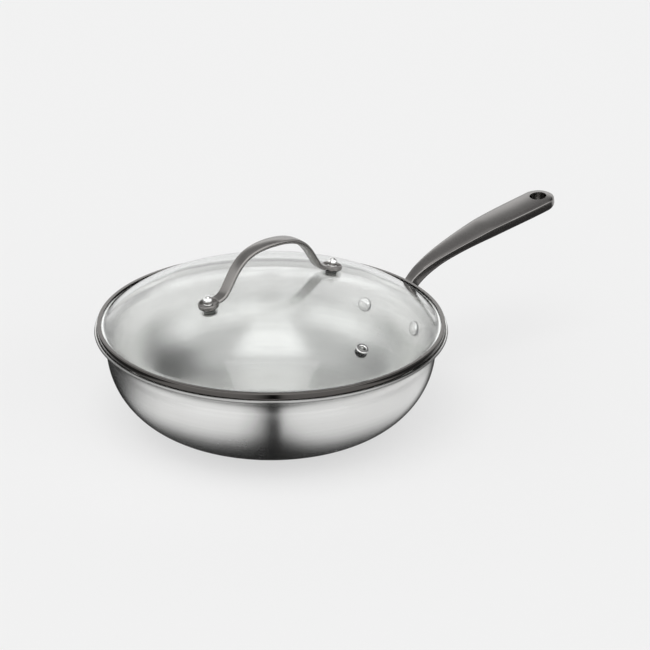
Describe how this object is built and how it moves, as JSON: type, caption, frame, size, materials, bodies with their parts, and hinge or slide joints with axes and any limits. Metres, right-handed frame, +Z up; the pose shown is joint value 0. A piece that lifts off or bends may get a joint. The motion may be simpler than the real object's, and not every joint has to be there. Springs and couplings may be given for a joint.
{
  "type": "wok with lid",
  "caption": "Stainless steel wok with a flared rim, one riveted long handle and a domed glass lid that has a steel band, an arched handle and a steam vent.",
  "frame": {"origin": "centre of the base on the table", "axes": "+Z up along the bowl's axis, +X along the long handle, away from the bowl"},
  "size_m": [0.4649, 0.2936, 0.1627],
  "materials": {
    "satin_steel": "satin, turned",
    "bright_steel": "bright",
    "polished_steel": "polished",
    "gunmetal": "dark, brushed",
    "aluminium": "plain",
    "clear_glass": "clear, tempered",
    "black_silicone": "matte",
    "clear_silicone": "translucent, matte"
  },
  "bodies": {
    "pan": {"wok_bowl": "satin_steel", "heat_spreader_disc": "aluminium", "base_cap": "bright_steel", "long_handle": "gunmetal", "handle_rivet_left": "bright_steel", "handle_rivet_right": "bright_steel"},
    "lid": {"lid_band": "gunmetal", "lid_glass": "clear_glass", "lid_handle": "gunmetal", "lid_gasket_front": "black_silicone", "lid_gasket_rear": "black_silicone", "lid_seal_front": "clear_silicone", "lid_seal_rear": "clear_silicone", "lid_washer_front": "bright_steel", "lid_washer_rear": "bright_steel", "lid_stud_front": "polished_steel", "lid_stud_rear": "polished_steel", "vent_eyelet": "polished_steel", "vent_seal": "black_silicone"}
  },
  "joints": [
    {"name": "lid_lift", "type": "slide", "parent": "pan", "child": "lid", "axis": [0, 0, 1], "range_m": [0, 0.12]}
  ]
}
